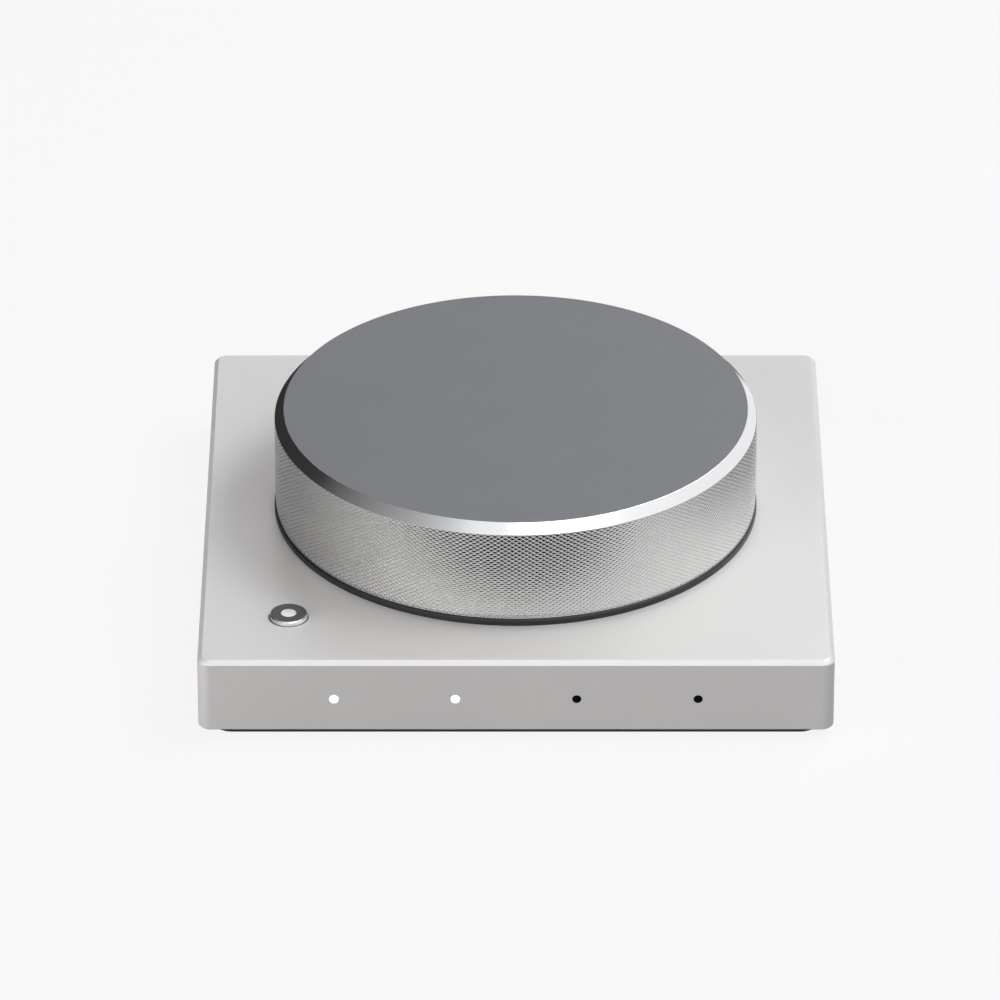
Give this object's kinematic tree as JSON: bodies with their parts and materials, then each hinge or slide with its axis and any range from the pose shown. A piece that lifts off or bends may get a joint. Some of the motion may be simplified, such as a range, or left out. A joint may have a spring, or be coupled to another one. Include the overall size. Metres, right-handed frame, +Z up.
{
  "type": "usb volume control knob",
  "caption": "Desk dial for sound volume: a square milled base with a small push button and indicator lights, and a large knurled dial on top that turns without end.",
  "frame": {"origin": "centre of the footprint, on the desk", "axes": "+Z up along the dial's axis, -Y out of the front wall with the lights, +Y out of the rear wall with the USB-C port, +X to the right seen from the front"},
  "size_m": [0.1, 0.1, 0.032],
  "materials": {
    "housing_aluminium": "fine bead blasted, clear anodised",
    "inner_aluminium": "turned, uncoated",
    "dial_aluminium": "diamond knurled side, polished chamfer",
    "disc_grey": "very fine blasted, grey anodised",
    "button_aluminium": "turned, bright rim",
    "face_dark": "satin, dark grey",
    "lens_white": "white diffusing",
    "light_lit": "clear diffusing, lit white",
    "light_dark": "clear diffusing, unlit",
    "led_white": "moulded",
    "ring_black": "matte moulded",
    "pad_rubber": "fine matte",
    "plate_steel": "zinc plated",
    "screw_steel": "zinc plated",
    "spindle_steel": "ground",
    "bearing_steel": "ground and polished",
    "spring_steel": "oiled",
    "port_steel": "nickel plated",
    "contact_brass": "gold plated",
    "cage_nylon": "moulded",
    "board_green": "solder mask",
    "chip_black": "moulded",
    "ceramic_tan": "fired ceramic",
    "adhesive_clear": "film"
  },
  "bodies": {
    "base": {"base_shell": "housing_aluminium", "foot_pad": "pad_rubber", "bottom_plate": "plate_steel", "bottom_plate_screws": "screw_steel", "plinth_ring": "ring_black", "bearing_carrier": "inner_aluminium", "carrier_screws": "screw_steel", "lower_outer_race": "bearing_steel", "upper_outer_race": "bearing_steel", "main_board": "board_green", "board_screws": "screw_steel", "encoder_chip": "chip_black", "controller_chip": "chip_black", "clock_crystal": "port_steel", "small_board_parts": "ceramic_tan", "indicator_leds": "led_white", "light_pipe_1": "light_lit", "light_pipe_2": "light_lit", "light_pipe_3": "light_dark", "light_pipe_4": "light_dark", "usb_port_shell": "port_steel", "usb_port_tongue": "chip_black", "usb_port_contacts": "contact_brass", "button_led": "led_white", "switch_body": "chip_black", "button_spring": "spring_steel"},
    "dial": {"dial_shell": "dial_aluminium", "dial_top_disc": "disc_grey", "disc_adhesive": "adhesive_clear", "hub_screws": "screw_steel", "spindle": "spindle_steel", "encoder_magnet": "port_steel", "retaining_ring": "spring_steel", "preload_washer": "spring_steel", "lower_inner_race": "bearing_steel", "upper_inner_race": "bearing_steel"},
    "lower_ball_set": {"lower_balls": "bearing_steel", "lower_cage": "cage_nylon"},
    "upper_ball_set": {"upper_balls": "bearing_steel", "upper_cage": "cage_nylon"},
    "button": {"button_cap": "button_aluminium", "button_face": "face_dark", "button_lens": "lens_white", "switch_plunger": "chip_black"}
  },
  "joints": [
    {"name": "dial_spin", "type": "hinge", "parent": "base", "child": "dial", "pos_m": [0, 0, 0.0153], "axis": [0, 0, 1], "continuous": true},
    {"name": "lower_cage_spin", "type": "hinge", "parent": "base", "child": "lower_ball_set", "pos_m": [0, 0, 0.0122], "axis": [0, 0, 1], "continuous": true},
    {"name": "upper_cage_spin", "type": "hinge", "parent": "base", "child": "upper_ball_set", "pos_m": [0, 0, 0.0217], "axis": [0, 0, 1], "continuous": true},
    {"name": "button_press", "type": "slide", "parent": "base", "child": "button", "axis": [0, 0, -1], "range_m": [0, 0.0004], "stiffness_N_per_m": 800, "springref_m": -0.001, "deforming": ["button_spring"]}
  ],
  "couplings": [
    {"joint": "lower_cage_spin", "follows": "dial_spin", "ratio": 0.4279},
    {"joint": "upper_cage_spin", "follows": "dial_spin", "ratio": 0.4279}
  ]
}
